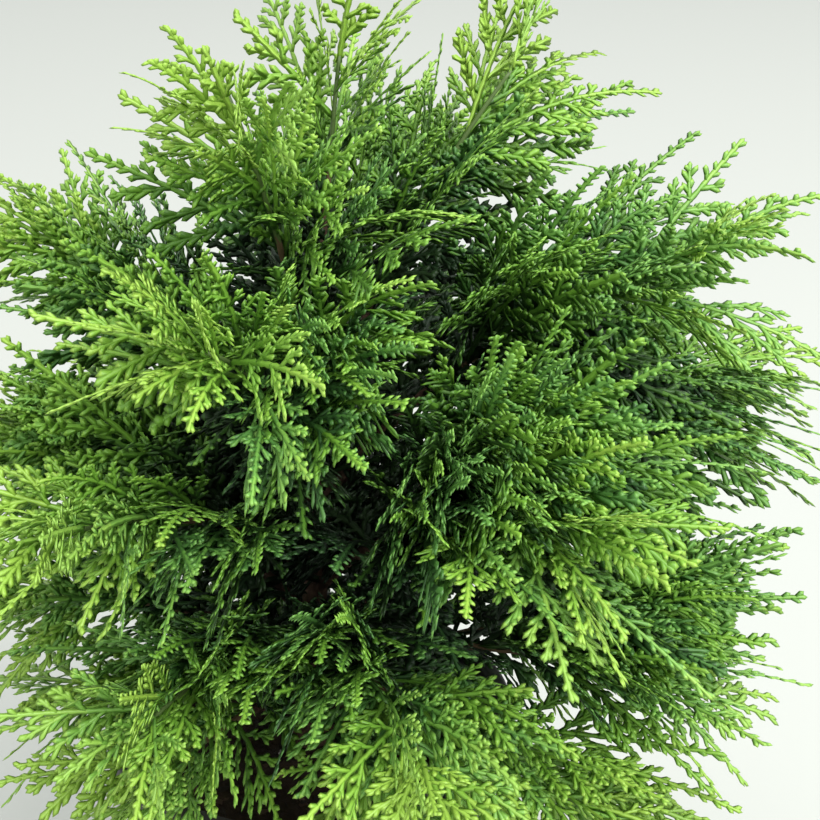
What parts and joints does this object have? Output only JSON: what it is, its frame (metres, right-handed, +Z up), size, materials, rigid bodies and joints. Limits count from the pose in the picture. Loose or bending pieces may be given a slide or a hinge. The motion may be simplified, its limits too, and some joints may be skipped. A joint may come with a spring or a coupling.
{
  "type": "potted dwarf globe cypress",
  "caption": "Young, dense, rounded dwarf cypress in a plain plastic pot: a short trunk, boughs in tiers, and flat toothed feathery sprays that droop at the tips.",
  "frame": {"origin": "centre of the pot's flat underside", "axes": "+Z up along the plant, -Y towards the viewer's front, +X to the viewer's right, where the crown reaches further"},
  "size_m": [0.2624, 0.2309, 0.3244],
  "materials": {
    "pot": "plain charcoal moulded plastic",
    "compost": "rough dark compost",
    "bark": "rough brown bark",
    "foliage": "satin green scale leaves"
  },
  "bodies": {
    "root": {"pot": "pot", "compost": "compost", "trunk": "bark", "bough_low_1": "bark", "mass_low_1": "foliage", "bough_low_2": "bark", "mass_low_2": "foliage", "bough_low_3": "bark", "mass_low_3": "foliage", "bough_low_4": "bark", "mass_low_4": "foliage", "bough_low_5": "bark", "mass_low_5": "foliage", "bough_low_6": "bark", "mass_low_6": "foliage", "bough_low_7": "bark", "mass_low_7": "foliage", "bough_low_8": "bark", "mass_low_8": "foliage", "bough_middle_1": "bark", "mass_middle_1": "foliage", "bough_middle_2": "bark", "mass_middle_2": "foliage", "bough_middle_3": "bark", "mass_middle_3": "foliage", "bough_middle_4": "bark", "mass_middle_4": "foliage", "bough_middle_5": "bark", "mass_middle_5": "foliage", "bough_middle_6": "bark", "mass_middle_6": "foliage", "bough_middle_7": "bark", "mass_middle_7": "foliage", "bough_high_1": "bark", "mass_high_1": "foliage", "bough_high_2": "bark", "mass_high_2": "foliage", "bough_high_3": "bark", "mass_high_3": "foliage", "bough_high_4": "bark", "mass_high_4": "foliage", "bough_high_5": "bark", "mass_high_5": "foliage", "bough_high_6": "bark", "mass_high_6": "foliage", "bough_upper_1": "bark", "mass_upper_1": "foliage", "bough_upper_2": "bark", "mass_upper_2": "foliage", "bough_upper_3": "bark", "mass_upper_3": "foliage", "bough_upper_4": "bark", "mass_upper_4": "foliage", "mass_top_1": "foliage", "mass_top_2": "foliage", "mass_top_3": "foliage", "mass_leader": "foliage"}
  },
  "joints": []
}
